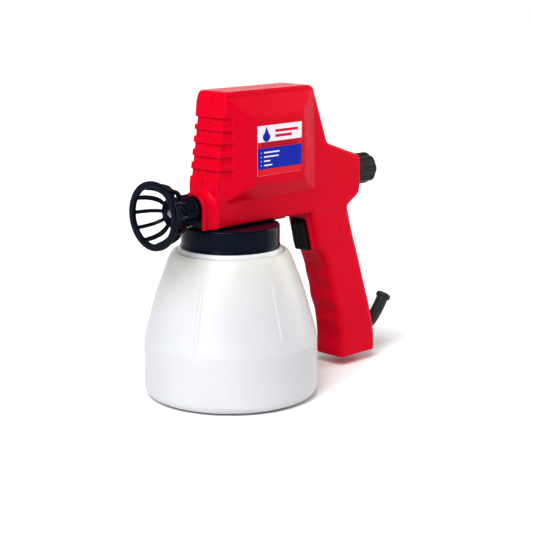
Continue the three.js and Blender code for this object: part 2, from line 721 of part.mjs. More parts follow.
add('magnet_core', IRON, magnetCore());
RIVET_SPOTS.forEach((spot, i) => add(`core_rivet_${i + 1}`, STEEL, coreRivet(spot)));
add('coil_bobbin', NYLON, coilBobbin());
add('coil_winding', COPPER, coilWinding());
add('armature', IRON, armature());
add('armature_pad', NYLON, armaturePad());
add('armature_pin', STEEL, armaturePin());
add('adjusting_screw', STEEL, adjustingScrew());
add('screw_nut', BRASS, screwNut());
add('control_knob', BLACK, controlKnob());
add('trigger', BLACK, trigger());
add('trigger_pin', STEEL, triggerPin());
add('trigger_spring', STEEL, springY(2.4, 0.4, 78, 87.8, 4, 97.5));
add('micro_switch', BLACK, microSwitch());
add('switch_plunger', RUBBER, switchPlunger());
add('cord_clamp', BLACK, cordClamp());
CLAMP_SPOTS.forEach((spot, i) => add(`cord_clamp_screw_${i + 1}`, STEEL, clampScrew(spot)));
add('cord_boot', RUBBER, cordBoot());

export default group;
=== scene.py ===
"""Looks of the electromagnetic paint spray gun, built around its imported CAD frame.

Visible pieces are signed distance fields in millimetres, turned into closed meshes whose vertices are moved
onto the field's surface. +Z is up, -Y the spray direction and +X the gun's left side.
"""

import json
import math

import bmesh
import bpy
import numpy as np
from mathutils import Matrix, Vector


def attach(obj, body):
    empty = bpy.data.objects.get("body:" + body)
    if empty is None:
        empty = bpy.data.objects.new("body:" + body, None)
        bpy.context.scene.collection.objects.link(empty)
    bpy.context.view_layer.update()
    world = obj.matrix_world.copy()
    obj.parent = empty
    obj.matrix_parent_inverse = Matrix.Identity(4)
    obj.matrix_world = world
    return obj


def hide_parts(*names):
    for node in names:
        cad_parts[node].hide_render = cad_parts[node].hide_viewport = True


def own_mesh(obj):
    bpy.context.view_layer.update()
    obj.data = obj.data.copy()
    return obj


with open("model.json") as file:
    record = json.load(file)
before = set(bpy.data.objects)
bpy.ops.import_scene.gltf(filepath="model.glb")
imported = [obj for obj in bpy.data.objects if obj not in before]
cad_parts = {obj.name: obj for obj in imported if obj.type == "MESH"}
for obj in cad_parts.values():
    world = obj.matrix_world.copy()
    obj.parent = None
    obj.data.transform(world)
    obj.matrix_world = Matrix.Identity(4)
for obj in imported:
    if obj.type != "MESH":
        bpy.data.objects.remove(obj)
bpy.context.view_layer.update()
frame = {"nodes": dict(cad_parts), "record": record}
MM = 0.001
SHARP = math.radians(42)  # edges that turn by more than this are shaded sharp
COARSE = 1.0  # cell size multiplier while trying things

# ---- driving dimensions, in millimetres --------------------------------------------------------
# housing, whose two halves meet at X = 0; a spot is (Y, Z)
HALF_W = 13.8  # of the body beside its raised flanks
PLATEAU_X = 20.5  # the flat of a flank
BODY_Z0 = 120.4
BAND_Z = 136.7  # the flanks' lower rim
WALL = 2.4
SEAM = 0.02  # from X = 0 to each half
# Each groove's top and bottom, across the front.
GROOVE_Z = [(193.5, 188.4), (184.9, 180.6), (176.4, 172.1), (167.6, 163.3), (158.7, 153.9)]
GROOVE_DEPTH = 1.3
GROOVE_END_Y = -12.0
NOSE_OPENING_R = 8.5
SCREW_SPOTS = [(-10, 202.6), (73, 172), (99, 154.4), (-17.4, 150), (70, 130), (116, 66), (107.5, 17.5)]
SCREW_HOLE_R = 1.8
SCREW_POCKET_R = 3.4
SCREW_POCKET_X = 10.9
BOSS_R = 4.6
BOSS_X = 11.6
PIVOT = (55.5, 202.6)
HOOD_Z = 134.0
HOOD_LIP_R = 11.2
HOOD_NECK_R = 10.4
HOOD_Y = (-34.5, -31.8, -24)  # the lip's front and back, and the body

# handle
HANDLE_HALF_W = 13.0
HANDLE_Z0 = 7.0
HANDLE_ROUND = 5.5
FINGER_DEPTH = 2.4
LIP_X = 8.0  # middle of the lip on each side of the trigger
LIP_HALF_W = 1.2
LIP_DEPTH = 2.2
LIP_Z = (91.2, 124)
VALLEY_Z0 = 90.2
EMBLEM_SPOT = (91.4, 103)
EMBLEM_HALF = (8.2, 9.4)
EMBLEM_LEAN = 0.28

# pump and nozzle
SPRAY_Z = 133.4
COLLAR_R = 34.3
COLLAR_Z = (104.4, 119.5)
COLLAR_BORE = 31.2
COLLAR_ROOF = 116.5
INLET_Y = 6
RETURN_Y = 20
GUARD_FRONT = -70.8
GUARD_R = 23.0
GUARD_RIBS = 12
NUT_FINS = 8

# container
BELLY_R = 60.0
NECK_R = 28.5
RIB_COUNT = 6
RIB_AZIMUTH = -67.5
RIB_HALF_W = 1.25
RIB_HEIGHT = 0.5
RIB_Z = (43.5, 84)

# knob, trigger and label
KNOB_Z = 143.6
KNOB_R = 11.5
KNOB_Y = (119.2, 140.9)
KNOB_SIDES = 8
KNOB_FLUTE_R = 7.0
KNOB_FLUTE_DEPTH = 1.2
TRIGGER_PIN = (72, 116.5)
TRIGGER_HALF_W = 6.2
TRIGGER_SLOT_HALF_W = 6.8
TRIGGER_GROOVE_PITCH = 2.1
BOOT_RING_PITCH = 1.6
LABEL_Y = (6.0, 49.0)
LABEL_Z = (153.3, 187.2)

# Outlines in the (Y, Z) plane; a third number is the corner's radius.
BODY_OUTLINE = [
    (-25.8, 120.4, 1.0), (104.4, 120.4, 3), (116.9, 128.0, 5), (118.6, 133, 5), (118.6, 156.0, 4.2),
    (83.0, 168.4, 7), (67.4, 210.6, 6), (-16.4, 211.0, 4), (-25.6, 149.0, 20),
]
CHEEK_FRONT = [(64, 128), (66.0, 117), (67.5, 113.4), (70.5, 102.5), (73.2, 91.3)]
HANDLE_BACK = [(139.8, 4), (139.3, 19), (137.5, 28), (133.2, 44), (126.8, 63), (120.2, 83), (114, 100),
               (110, 113.5), (108.4, 120), (108, 130)]
HANDLE_FOOT = [(99.2, 9.6), (99.9, 8), (101.8, HANDLE_Z0), (136.6, HANDLE_Z0), (139, 8), (140, 10.4),
               (145, 130)]
LEDGE = (79, 88.8)  # under the trigger, where the finger grooves begin
FINGER_CRESTS = [(80.6, 86.6), (86.7, 69.2), (91.5, 51.4), (97.4, 34), (99.0, 12)]
BOOT_POINTS = [(129, 21), (137, 21.4), (145.5, 24.2), (152.6, 30), (158, 36.4), (163, 43.2)]


# ---- distance fields ----------------------------------------------------------------------------
def smooth_union(a, b, k):
    """a or b, the corner between them filled by about k / 4."""
    h = np.maximum(k - np.abs(a - b), 0) / k
    return np.minimum(a, b) - h * h * k / 4


def smooth_cut(a, b, k):
    """a without b, the edge between them rounded by about k / 4."""
    return -smooth_union(-a, b, k)


def smooth_both(a, b, k):
    """Where both are, the edge between them rounded by about k / 4."""
    return -smooth_union(-a, -b, k)


def rounded_both(a, b, r):
    """Where both fields are negative, with the edge between them rounded to radius r."""
    a, b = a + r, b + r
    return np.minimum(np.maximum(a, b), 0) + np.hypot(np.maximum(a, 0), np.maximum(b, 0)) - r


def fillet(points, steps=7):
    """A closed outline with each (u, v, radius) corner replaced by an arc."""
    out = []
    for i, (u, v, r) in enumerate(points):
        p = np.array([u, v], float)
        a = np.array(points[i - 1][:2], float) - p
        b = np.array(points[(i + 1) % len(points)][:2], float) - p
        la, lb = np.linalg.norm(a), np.linalg.norm(b)
        a, b = a / la, b / lb
        half = math.acos(np.clip(a @ b, -1, 1)) / 2
        reach = min(r / math.tan(half), 0.49 * la, 0.49 * lb)
        r = reach * math.tan(half)
        centre = p + (a + b) / np.linalg.norm(a + b) * r / math.sin(half)
        start, end = p + a * reach - centre, p + b * reach - centre
        turn = math.atan2(start[0] * end[1] - start[1] * end[0], start @ end)
        for k in range(steps + 1):
            t = turn * k / steps
            out.append((centre[0] + start[0] * math.cos(t) - start[1] * math.sin(t),
                        centre[1] + start[0] * math.sin(t) + start[1] * math.cos(t)))
    return out


def outline_distance(points):
    """Signed distance to a closed outline, as a function of (u, v); negative inside."""
    pts = np.array(points, float)
    nxt = np.roll(pts, -1, axis=0)

    def distance(u, v):
        u, v = np.broadcast_arrays(u, v)
        best = np.full(u.shape, 1e9)
        inside = np.zeros(u.shape, bool)
        for (au, av), (bu, bv) in zip(pts, nxt):
            du, dv = bu - au, bv - av
            t = np.clip(((u - au) * du + (v - av) * dv) / max(du * du + dv * dv, 1e-12), 0, 1)
            best = np.minimum(best, (u - au - t * du) ** 2 + (v - av - t * dv) ** 2)
            if av != bv:
                inside ^= ((av > v) != (bv > v)) & (u < (v - av) / (bv - av) * du + au)
        return np.where(inside, -1, 1) * np.sqrt(best)

    return distance


def smooth_line(points, steps=8):
    """An open line through the points, as a Catmull-Rom curve."""
    p = np.array([points[0], *points, points[-1]], float)
    out = []
    for i in range(1, len(p) - 2):
        for k in range(steps):
            t = k / steps
            a, b, c, d = p[i - 1], p[i], p[i + 1], p[i + 2]
            out.append(0.5 * (2 * b + (c - a) * t + (2 * a - 5 * b + 4 * c - d) * t**2
                              + (3 * b - a - 3 * c + d) * t**3))
    out.append(p[-2])
    return [tuple(q) for q in out]


def rod(a, b, r, t, t0, t1, edge=0.0):
    """A rod of radius r about a = b = 0, from t0 to t1 along t, its rims rounded."""
    radial = np.hypot(a, b) - r
    ends = np.maximum(t0 - t, t - t1)
    return rounded_both(radial, ends, edge) if edge else np.maximum(radial, ends)


def box(x, y, z, low, high, edge=0.3):
    """A block between two corners, its edges rounded."""
    q = [np.maximum(lo - c, c - hi) + edge for c, lo, hi in zip((x, y, z), low, high)]
    outside = np.sqrt(sum(np.maximum(v, 0) ** 2 for v in q))
    return np.minimum(np.maximum(np.maximum(q[0], q[1]), q[2]), 0) + outside - edge


# ---- meshes from fields -------------------------------------------------------------------------
def slope(field, points, reach):
    """The field's gradient at the points."""
    sides = [field(*(points + d).T) - field(*(points - d).T) for d in np.eye(3) * reach]
    return np.stack(sides, 1) / (2 * reach)


def crossings(f, axis, low, step):
    """Where grid edges along an axis cross the surface.

    Gives the points, the 4 cells round each, and whether the cells in that order face outwards.
    """
    first, second = [slice(None)] * 3, [slice(None)] * 3
    first[axis], second[axis] = slice(None, -1), slice(1, None)
    fa, fb = f[tuple(first)], f[tuple(second)]
    crossed = (fa < 0) != (fb < 0)
    at = np.argwhere(crossed)
    fa, fb = fa[crossed], fb[crossed]
    points = at.astype(float)
    points[:, axis] += fa / (fa - fb)
    j, k = [c for c in range(3) if c != axis]
    around = []
    for back_j, back_k in ((0, 0), (1, 0), (1, 1), (0, 1)):
        cell = at.copy()
        cell[:, j] -= back_j
        cell[:, k] -= back_k
        around.append(np.ravel_multi_index(cell.T, f.shape, mode="clip"))
    outward = (fa < 0) if axis != 1 else (fa > 0)
    return points * step + low, np.stack(around, 1), outward


def net(field, low, high, step):
    """Vertices and quads of the surface where the field is 0, one vertex for each cell that it crosses.

    A vertex goes where the tangent planes at its cell's crossings meet, so that creases stay sharp.
    """
    axes = [np.arange(lo - 1.5 * step, hi + 2.5 * step, step) for lo, hi in zip(low, high)]
    start = np.array([a[0] for a in axes])
    f = np.array(np.broadcast_to(field(*np.ix_(*axes)), [len(a) for a in axes]), np.float32)
    f[np.abs(f) < 1e-6] = 1e-6
    found = [crossings(f, axis, start, step) for axis in range(3)]
    points = np.concatenate([c[0] for c in found])
    around = np.concatenate([c[1] for c in found])
    outward = np.concatenate([c[2] for c in found])
    normals = slope(field, points, step * 0.1)
    normals /= np.maximum(np.linalg.norm(normals, axis=1, keepdims=True), 1e-9)

    cells, index = np.unique(around.ravel(), return_inverse=True)
    index = index.reshape(around.shape)

    def gathered(values):
        return np.bincount(index.ravel(), np.repeat(values, 4), len(cells))

    count = gathered(np.ones(len(points)))
    middle = np.stack([gathered(points[:, k]) for k in range(3)], 1) / count[:, None]
    planes = np.empty((len(cells), 3, 3))
    for i in range(3):
        for j in range(3):
            planes[:, i, j] = gathered(normals[:, i] * normals[:, j])
    offsets = (normals * points).sum(1)
    target = np.stack([gathered(normals[:, k] * offsets) for k in range(3)], 1)
    target -= np.einsum("nij,nj->ni", planes, middle)
    planes += np.eye(3) * (0.04 * count)[:, None, None]
    vertices = middle + np.linalg.solve(planes, target[:, :, None])[:, :, 0]
    corner = np.stack(np.unravel_index(cells, f.shape), 1) * step + start
    vertices = np.clip(vertices, corner, corner + step)
    quads = np.where(outward[:, None], index, index[:, ::-1])
    return vertices, quads


def settle(field, points, step):
    """Moves points onto the field's surface, by no more than part of a cell."""
    g = slope(field, points, step * 0.1)
    move = (field(*points.T) / np.maximum((g * g).sum(1), 0.3))[:, None] * g
    length = np.linalg.norm(move, axis=1, keepdims=True)
    return points - move * np.minimum(1, 0.3 * step / np.maximum(length, 1e-9))


def mesh_object(name, points, faces, material):
    """A smooth-shaded object in metres from points in millimetres."""
    mesh = bpy.data.meshes.new(name)
    mesh.from_pydata((np.asarray(points) * MM).tolist(), [], [list(map(int, face)) for face in faces])
    mesh.polygons.foreach_set("use_smooth", [True] * len(mesh.polygons))
    mesh.materials.append(material)
    mesh.validate()
    mesh.set_sharp_from_angle(angle=SHARP)
    obj = bpy.data.objects.new(name, mesh)
    bpy.context.scene.collection.objects.link(obj)
    return obj


def solid(name, field, low, high, step, material):
    """The closed surface of a field between two corners; step is the cell size."""
    step *= COARSE
    points, quads = net(field, low, high, step)
    return mesh_object(name, settle(field, points, step), quads, material)


def place(obj, body, slot, *nodes):
    """Rides on a body and stands for CAD nodes, which it hides; slot is not used."""
    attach(obj, body)
    if nodes:
        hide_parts(*nodes)
    return obj


def turned(name, profile, axis, centre, material, angles=96, bulge=None):
    """A closed profile of (radius, along) points turned about an axis ('Y' or 'Z') through centre.

    angles is how many steps a turn has, or the angles themselves. bulge(angle, profile) is added to the
    radii.
    """
    profile = np.array(profile, float)
    if isinstance(angles, int):
        angles = np.arange(angles) * 2 * math.pi / angles
    cx, cy, cz = centre
    rows = []
    for a in angles:
        r = profile[:, 0] + (bulge(a, profile) if bulge else 0)
        across, up = r * math.cos(a), r * math.sin(a)
        if axis == "Z":
            rows.append(np.stack([cx + across, cy + up, profile[:, 1]], 1))
        else:
            rows.append(np.stack([cx + across, profile[:, 1], cz - up], 1))
    faces = grid_faces(len(angles), len(profile), closed=True)
    obj = mesh_object(name, np.concatenate(rows), faces, material)
    weld(obj)
    return obj


def grid_faces(rows, count, closed):
    """Quads between neighbouring rings of count points; closed joins the last ring to the first."""
    faces = []
    for i in range(rows if closed else rows - 1):
        j = (i + 1) % rows
        for k in range(count):
            m = (k + 1) % count
            faces.append((i * count + k, j * count + k, j * count + m, i * count + m))
    return faces


def weld(obj):
    """Merges doubled vertices, drops faces that vanish and turns all faces outwards."""
    bm = bmesh.new()
    bm.from_mesh(obj.data)
    bmesh.ops.remove_doubles(bm, verts=bm.verts, dist=1e-6)
    bmesh.ops.dissolve_degenerate(bm, edges=bm.edges, dist=1e-7)
    bmesh.ops.recalc_face_normals(bm, faces=bm.faces)
    bm.to_mesh(obj.data)
    bm.free()
    obj.data.set_sharp_from_angle(angle=SHARP)


# ---- materials ----------------------------------------------------------------------------------
def shader(name):
    """A new material, its node tree and its Principled shader."""
    material = bpy.data.materials.new(name)
    material.use_nodes = True
    tree = material.node_tree
    return material, tree, tree.nodes["Principled BSDF"]


def add_node(tree, kind, **inputs):
    node = tree.nodes.new(kind)
    for key, value in inputs.items():
        node.inputs[key.replace("_", " ")].default_value = value
    return node


def noise(tree, scale, detail=3.0, stretch=(1, 1, 1)):
    """The value of a noise texture; scale is in cells for each metre."""
    where = tree.nodes.new("ShaderNodeTexCoord")
    mapping = add_node(tree, "ShaderNodeMapping", Scale=stretch)
    texture = add_node(tree, "ShaderNodeTexNoise", Scale=scale, Detail=detail)
    tree.links.new(where.outputs["Object"], mapping.inputs["Vector"])
    tree.links.new(mapping.outputs["Vector"], texture.inputs["Vector"])
    return texture.outputs["Fac"]


def spread(tree, value, low, high):
    """Maps the middle of a noise value to the range from low to high."""
    node = add_node(tree, "ShaderNodeMapRange", To_Min=low, To_Max=high)
    node.inputs["From Min"].default_value = 0.3
    node.inputs["From Max"].default_value = 0.7
    tree.links.new(value, node.inputs["Value"])
    return node.outputs["Result"]


def blend_colours(tree, value, first, second):
    node = tree.nodes.new("ShaderNodeValToRGB")
    node.color_ramp.elements[0].color = (*first, 1)
    node.color_ramp.elements[1].color = (*second, 1)
    node.color_ramp.elements[0].position = 0.3
    node.color_ramp.elements[1].position = 0.7
    tree.links.new(value, node.inputs["Fac"])
    return node.outputs["Color"]


def bumps(tree, bsdf, value, depth, strength=1.0):
    """Fine relief of that depth in metres."""
    node = add_node(tree, "ShaderNodeBump", Strength=strength, Distance=depth)
    tree.links.new(value, node.inputs["Height"])
    tree.links.new(node.outputs["Normal"], bsdf.inputs["Normal"])


def moulded(name, first, second, rough, grain=2500, depth=0.00002, coat=0.0, sheen=0.5):
    """Moulded plastic: colour that varies slightly, a fine grain, and gloss that varies in soft patches."""
    material, tree, bsdf = shader(name)
    tree.links.new(blend_colours(tree, noise(tree, 22), first, second), bsdf.inputs["Base Color"])
    tree.links.new(spread(tree, noise(tree, 60), rough[0], rough[1]), bsdf.inputs["Roughness"])
    bumps(tree, bsdf, noise(tree, grain, 2), depth)
    bsdf.inputs["Coat Weight"].default_value = coat
    bsdf.inputs["Coat Roughness"].default_value = 0.12
    bsdf.inputs["Specular IOR Level"].default_value = sheen
    return material


def red_plastic():
    return moulded("red_plastic", (0.54, 0.0002, 0.021), (0.6, 0.0003, 0.025), (0.22, 0.3), sheen=0.06)


def black_plastic():
    # The blue in both base colours is a painted bluish reflection laid into the black.
    return moulded("black_plastic", (0.0005, 0.0034, 0.011), (0.0009, 0.005, 0.017), (0.12, 0.2),
                   sheen=0.12)


def satin_plastic():
    return moulded("satin_black_plastic", (0.008, 0.008, 0.009), (0.012, 0.012, 0.013), (0.36, 0.48),
                    depth=0.00004, sheen=0.2)


def rubber():
    return moulded("rubber", (0.012, 0.012, 0.013), (0.02, 0.02, 0.021), (0.5, 0.65), 1800, 0.00006)


def nylon():
    return moulded("nylon", (0.76, 0.73, 0.62), (0.8, 0.77, 0.67), (0.35, 0.5))


MILK = (0.53, 0.537, 0.56)
# Painted light and tone on the shoulder: the brightening at 36.3 mm is a painted highlight on the band under
# the collar, the tan at 36.7 mm is painted shade in its crease, and further out the tone is creamier.
SHOULDER_SHADE_AND_TINTS = [  # distance from the container's axis in millimetres, and the tint there
    (36.3, (1.12, 1.12, 1.1)),
    (36.7, (0.95, 0.84, 0.66)),
    (37.8, (1.04, 1.01, 0.92)),
    (46, (1.03, 1.01, 0.96)),
    (56, (1, 1, 1)),
]


def milky_plastic():
    """Thick near-white polyethylene that lets a little light through, creamier towards its shoulder, with a
    painted bright band and painted shade in the crease at its shoulder.
    """
    material = moulded("milky_plastic", MILK, tuple(c + 0.025 for c in MILK), (0.3, 0.38), 900, sheen=0.3)
    tree = material.node_tree
    bsdf = tree.nodes["Principled BSDF"]
    where = tree.nodes.new("ShaderNodeTexCoord")
    level = add_node(tree, "ShaderNodeMapping", Scale=(1, 1, 0))
    radius = tree.nodes.new("ShaderNodeVectorMath")
    radius.operation = "LENGTH"
    first, last = SHOULDER_SHADE_AND_TINTS[0][0], SHOULDER_SHADE_AND_TINTS[-1][0]
    along = add_node(tree, "ShaderNodeMapRange", From_Min=first * MM, From_Max=last * MM)
    ramp = tree.nodes.new("ShaderNodeValToRGB")
    stops = ramp.color_ramp.elements
    for i, (distance, tint) in enumerate(SHOULDER_SHADE_AND_TINTS):
        stop = stops[0] if i == 0 else stops.new((distance - first) / (last - first))
        stop.color = (*tint, 1)
    stops.remove(stops[-1])
    # Multiplies the painted highlight, the crease's painted shade and the creamier tone into the base colour.
    tinted = tree.nodes.new("ShaderNodeMix")
    tinted.data_type = "RGBA"
    tinted.blend_type = "MULTIPLY"
    tinted.inputs["Factor"].default_value = 1
    tree.links.new(where.outputs["Object"], level.inputs["Vector"])
    tree.links.new(level.outputs["Vector"], radius.inputs[0])
    tree.links.new(radius.outputs["Value"], along.inputs["Value"])
    tree.links.new(along.outputs["Result"], ramp.inputs["Fac"])
    tree.links.new(bsdf.inputs["Base Color"].links[0].from_socket, tinted.inputs["A"])
    tree.links.new(ramp.outputs["Color"], tinted.inputs["B"])
    tree.links.new(tinted.outputs["Result"], bsdf.inputs["Base Color"])
    bsdf.inputs["Subsurface Weight"].default_value = 0.35
    bsdf.inputs["Subsurface Radius"].default_value = (1.0, 1.0, 1.0)
    bsdf.inputs["Subsurface Scale"].default_value = 0.004
    return material


def metal(name, first, second, rough, stretch=(1, 1, 1)):
    """Machined metal with fine marks along the stretched direction."""
    material, tree, bsdf = shader(name)
    bsdf.inputs["Metallic"].default_value = 1.0
    tree.links.new(blend_colours(tree, noise(tree, 90), first, second), bsdf.inputs["Base Color"])
    tree.links.new(spread(tree, noise(tree, 700, 4, stretch), rough[0], rough[1]), bsdf.inputs["Roughness"])
    bumps(tree, bsdf, noise(tree, 1500, 3, stretch), 0.00002)
    return material


def steel():
    return metal("steel", (0.55, 0.56, 0.58), (0.66, 0.67, 0.68), (0.2, 0.38), (1, 6, 1))


def iron():
    return metal("laminated_iron", (0.16, 0.16, 0.17), (0.25, 0.25, 0.26), (0.4, 0.6), (20, 1, 1))


def brass():
    return metal("brass", (0.72, 0.5, 0.2), (0.8, 0.58, 0.26), (0.16, 0.32), (1, 8, 1))


def copper():
    """Enamelled copper wire, its turns shown by narrow ridges."""
    material, tree, bsdf = shader("copper_winding")
    where = tree.nodes.new("ShaderNodeTexCoord")
    wave = add_node(tree, "ShaderNodeTexWave", Scale=400.0, Distortion=0.4)
    wave.bands_direction = "Y"
    tree.links.new(where.outputs["Object"], wave.inputs["Vector"])
    tree.links.new(blend_colours(tree, wave.outputs["Fac"], (0.3, 0.08, 0.03), (0.62, 0.24, 0.1)),
                   bsdf.inputs["Base Color"])
    tree.links.new(spread(tree, noise(tree, 300), 0.25, 0.4), bsdf.inputs["Roughness"])
    bsdf.inputs["Metallic"].default_value = 0.8
    bumps(tree, bsdf, wave.outputs["Fac"], 0.0003)
    return material


def print_ink(name, colour):
    """Printed film: even colour with a faint variation and a slightly wavy gloss."""
    lighter = tuple(min(1, c * 1.12 + 0.004) for c in colour)
    return moulded(name, colour, lighter, (0.22, 0.3), 500, 0.00001, sheen=0.12)


FINISH = {
    "red_plastic": red_plastic(),
    "black_plastic": black_plastic(),
    "rubber": rubber(),
    "steel": steel(),
    "iron": iron(),
    "brass": brass(),
    "copper": copper(),
    "milky_plastic": milky_plastic(),
    "nylon": nylon(),
    "label": print_ink("label_white", (0.69, 0.65, 0.72)),
}
SATIN = satin_plastic()


def dress_cad_nodes():
    """Gives every CAD node the finish of its material slot; the nodes that stay hidden have it too."""
    for part in frame["record"]["subparts"]:
        node = frame["nodes"][part["node"]]
        for slot in node.material_slots:
            slot.material = FINISH[part["material_slot"]]


# ---- housing ------------------------------------------------------------------------------------
PLATEAU_FLAT = [(1.5, 192), (52.3, 192.6), (53.3, 147.4), (1.8, 147.6)]
PLATEAU_RIM = [(-15.2, 209.4), (67.8, 205.4), (69.1, BAND_Z), (-23.6, BAND_Z)]


def plateau_planes():
    """The four slopes round the flat of a flank, each as (normal, distance) for the side of +X."""
    centre = np.array([0, 27, 170])
    planes = []
    for i in range(4):
        a, b = PLATEAU_FLAT[i], PLATEAU_FLAT[(i + 1) % 4]
        rim = (np.array(PLATEAU_RIM[i]) + PLATEAU_RIM[(i + 1) % 4]) / 2
        p, q, r = np.array([PLATEAU_X, *a]), np.array([PLATEAU_X, *b]), np.array([HALF_W, *rim])
        normal = np.cross(q - p, r - p)
        normal = normal / np.linalg.norm(normal)
        if normal @ (centre - p) > 0:
            normal = -normal
        planes.append((normal, normal @ p))
    return planes


def finger_line():
    """The grip's front edge: from each crest to the next the line bows inwards."""
    line = []
    for a, b in zip(FINGER_CRESTS, FINGER_CRESTS[1:]):
        for k in range(8):
            t = k / 8
            bow = FINGER_DEPTH * math.sin(math.pi * t)
            line.append((a[0] + (b[0] - a[0]) * t + bow, a[1] + (b[1] - a[1]) * t))
    return line + [FINGER_CRESTS[-1]]


PLANES = plateau_planes()
body_distance = outline_distance(fillet(BODY_OUTLINE))
grip_distance = outline_distance([*CHEEK_FRONT, LEDGE, *smooth_line(FINGER_CRESTS, 3), (99, 2), (139.5, 2),
                                  *smooth_line(HANDLE_BACK, 4)])
finger_distance = outline_distance([*CHEEK_FRONT, LEDGE, *finger_line(), *HANDLE_FOOT])


def flank(x, y, z):
    """The raised flanks: a flat with a slope on each of its four sides."""
    out = np.abs(x)
    f = out - PLATEAU_X
    for (nx, ny, nz), d in PLANES:
        f = smooth_both(f, nx * np.maximum(out, HALF_W - 0.4) + ny * y + nz * z - d, 1.0)
    return f


def front_grooves(x, y, z):
    """How far the body's surface is set in: grooves across its front, shallower where the halves meet."""
    inside = 0
    for top, bottom in GROOVE_Z:
        inside = np.maximum(inside, np.clip(0.5 + np.minimum(top - z, z - bottom) / 0.5, 0, 1))
    rib = 1 - 0.65 * np.clip((1.3 - np.abs(x)) / 0.5, 0, 1)
    return GROOVE_DEPTH * inside * rib * np.clip(0.5 + (GROOVE_END_Y - y) / 0.5, 0, 1)


def lip_line(z):
    """Y of the cheeks' front edge beside the trigger."""
    return np.interp(z, [p[1] for p in CHEEK_FRONT[::-1]], [p[0] for p in CHEEK_FRONT[::-1]])


def grip(x, y, z):
    """The handle, with a raised lip at each side of the trigger and a shallow valley behind it."""
    smooth = rounded_both(grip_distance(y, z), np.abs(x) - HANDLE_HALF_W, HANDLE_ROUND)
    f = smooth_both(smooth, finger_distance(y, z), 1.6)
    front = lip_line(z) - y
    valley = np.maximum(np.maximum(-front - LIP_DEPTH, LIP_X - np.abs(x)), VALLEY_Z0 - z)
    f = smooth_cut(f, valley, 1.4)
    lip = rounded_both(np.abs(np.abs(x) - LIP_X) - LIP_HALF_W, np.abs(front + 3) - 3, 0.7)
    lip = np.maximum(lip, np.maximum(LIP_Z[0] - z, z - LIP_Z[1]))
    return smooth_union(f, lip, 1.2)


def hood(x, y, z):
    """The arched mouth round the nozzle: one lip, and a hollow sweep back to the body."""
    across = np.where(z > HOOD_Z, np.hypot(x, z - HOOD_Z), np.abs(x))
    front, lip_back, end = HOOD_Y
    lip = rounded_both(across - HOOD_LIP_R, np.maximum(front - y, y - lip_back), 0.8)
    sweep = 0.16 * np.clip(y - lip_back, 0, 9) ** 1.6
    neck = np.maximum(across - HOOD_NECK_R - sweep, np.maximum(front + 0.5 - y, y - end))
    return np.maximum(smooth_union(lip, neck, 0.8), BODY_Z0 - z)


def spots_distance(spots, y, z):
    """Distance from the nearest of the spots."""
    f = np.inf
    for sy, sz in spots:
        f = np.minimum(f, np.hypot(y - sy, z - sz))
    return f


def housing_openings(x, y, z):
    """Where the nose, the pump, the trigger, the flow screw and the cord boot pass through the shell."""
    nose = np.where(z > HOOD_Z, np.hypot(x, z - HOOD_Z), np.abs(x)) - NOSE_OPENING_R
    f = np.maximum(nose, np.maximum(-37 - y, y + 20))
    f = np.minimum(f, box(x, y, z, (-9.6, -24, 110), (9.6, 47, 124)))
    w = TRIGGER_SLOT_HALF_W
    f = np.minimum(f, box(x, y, z, (-w, 50, 90), (w, 90, 113.6), 0.6))
    f = np.minimum(f, box(x, y, z, (-w, 67.8, 100), (w, 90, 122), 0.6))
    f = np.minimum(f, rod(x, z - KNOB_Z, 3.6, y, 110, 122))
    return np.minimum(f, rod(x, z - 21.2, 4.9, y, 126, 142))


def housing(side):
    """The field of one half of the housing: side 1 is the left half, -1 the right."""

    def field(x, y, z):
        side_view = body_distance(y, z)
        body = rounded_both(side_view, np.abs(x) - HALF_W, 1.7)
        body = smooth_union(body, rounded_both(side_view + 0.2, flank(x, y, z), 1.0), 0.6)
        handle = grip(x, y, z)
        body = body + front_grooves(x, y, z)
        hollow = np.minimum(body, handle) + WALL
        outer = smooth_union(body, handle, 2.2)
        outer = smooth_union(outer, hood(x, y, z), 1.4)
        shell = np.maximum(outer, -hollow)
        reach = side * x
        screws = spots_distance(SCREW_SPOTS, y, z)
        bosses = np.maximum(screws - BOSS_R, reach - BOSS_X)
        bosses = np.minimum(bosses, rod(y - PIVOT[0], z - PIVOT[1], 4.4, reach, 8.8, BOSS_X))
        bosses = np.minimum(bosses, rod(y - TRIGGER_PIN[0], z - TRIGGER_PIN[1], 4.0, reach, 6.9, BOSS_X))
        f = np.minimum(shell, np.maximum(bosses, outer))
        f = smooth_cut(f, housing_openings(x, y, z), 0.5)
        if side < 0:
            f = smooth_cut(f, np.maximum(screws - SCREW_POCKET_R, SCREW_POCKET_X - reach), 0.5)
        hole_end = 9 if side > 0 else PLATEAU_X
        f = np.maximum(f, -np.maximum(screws - SCREW_HOLE_R, reach - hole_end))
        edge = np.where(z > 118, 0.9, 0.2)  # the halves meet more tightly on the handle
        return smooth_both(f, SEAM - reach, edge)

    return field


def build_housing():
    for name, side in (("housing_left_shell", 1), ("housing_right_shell", -1)):
        low, high = (0, PLATEAU_X) if side > 0 else (-PLATEAU_X, 0)
        shell = solid(name, housing(side), (low, -36, 6), (high, 142, 212), 0.75, FINISH["red_plastic"])
        place(shell, "gun", "red_plastic", "housing_left" if side > 0 else "housing_right")


